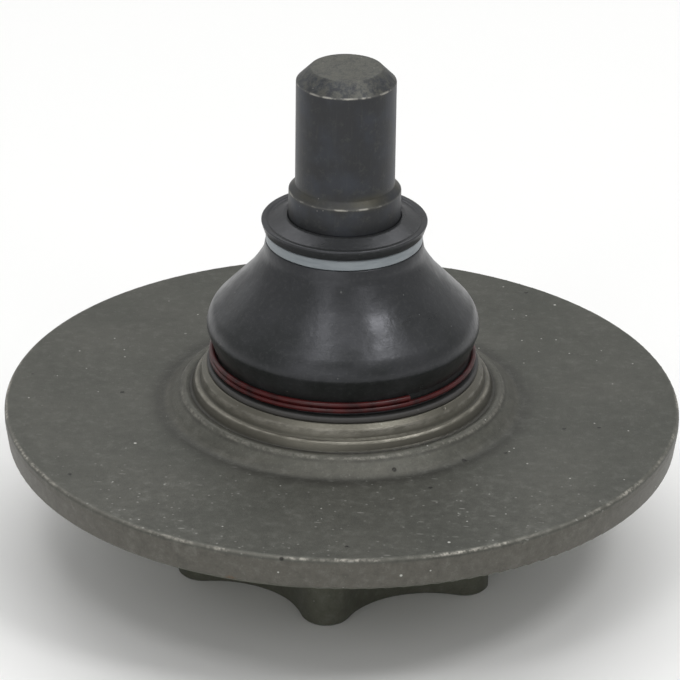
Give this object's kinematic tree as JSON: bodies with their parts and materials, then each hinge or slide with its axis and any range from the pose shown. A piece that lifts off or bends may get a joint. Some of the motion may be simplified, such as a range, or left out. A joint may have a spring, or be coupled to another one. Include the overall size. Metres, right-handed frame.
{
  "type": "suspension ball joint",
  "caption": "Suspension ball joint with a round flange, a lobed barrel below it, a sealed dust boot and a straight pin for a pinch clamp.",
  "frame": {"origin": "centre of the housing's bottom face, on the pin's axis", "axes": "+Z along the stud at rest, towards the pin's end; -Y through the middle of one barrel lobe"},
  "size_m": [0.138, 0.138, 0.1064],
  "materials": {
    "housing_steel": "oiled forging, turned hub",
    "stud_steel": "dark phosphate",
    "bearing_plastic": "moulded",
    "spring_steel": "oiled",
    "cover_steel": "pressed",
    "boot_rubber": "satin moulded",
    "ring_plastic": "moulded grey",
    "wire_lacquer": "dark red lacquer"
  },
  "bodies": {
    "housing_body": {"housing": "housing_steel", "upper_bearing_shell": "bearing_plastic", "preload_spring": "spring_steel", "cover_plate": "cover_steel", "boot_clamp_wire": "wire_lacquer", "dust_boot": "boot_rubber"},
    "swing_seat": {"pressure_cup": "bearing_plastic"},
    "boot_neck": {"boot_neck_ring": "ring_plastic"},
    "stud": {"ball_stud": "stud_steel"}
  },
  "joints": [
    {"name": "swing_direction", "type": "hinge", "parent": "housing_body", "child": "swing_seat", "pos_m": [0, 0, 0.028], "axis": [0, 0, 1], "continuous": true},
    {"name": "stud_tilt", "type": "hinge", "parent": "swing_seat", "child": "boot_neck", "pos_m": [0, 0, 0.028], "axis": [0, 1, 0], "range_deg": [-20, 20], "deforming": ["dust_boot"]},
    {"name": "stud_spin", "type": "hinge", "parent": "boot_neck", "child": "stud", "pos_m": [0, 0, 0.028], "axis": [0, 0, 1], "continuous": true}
  ]
}
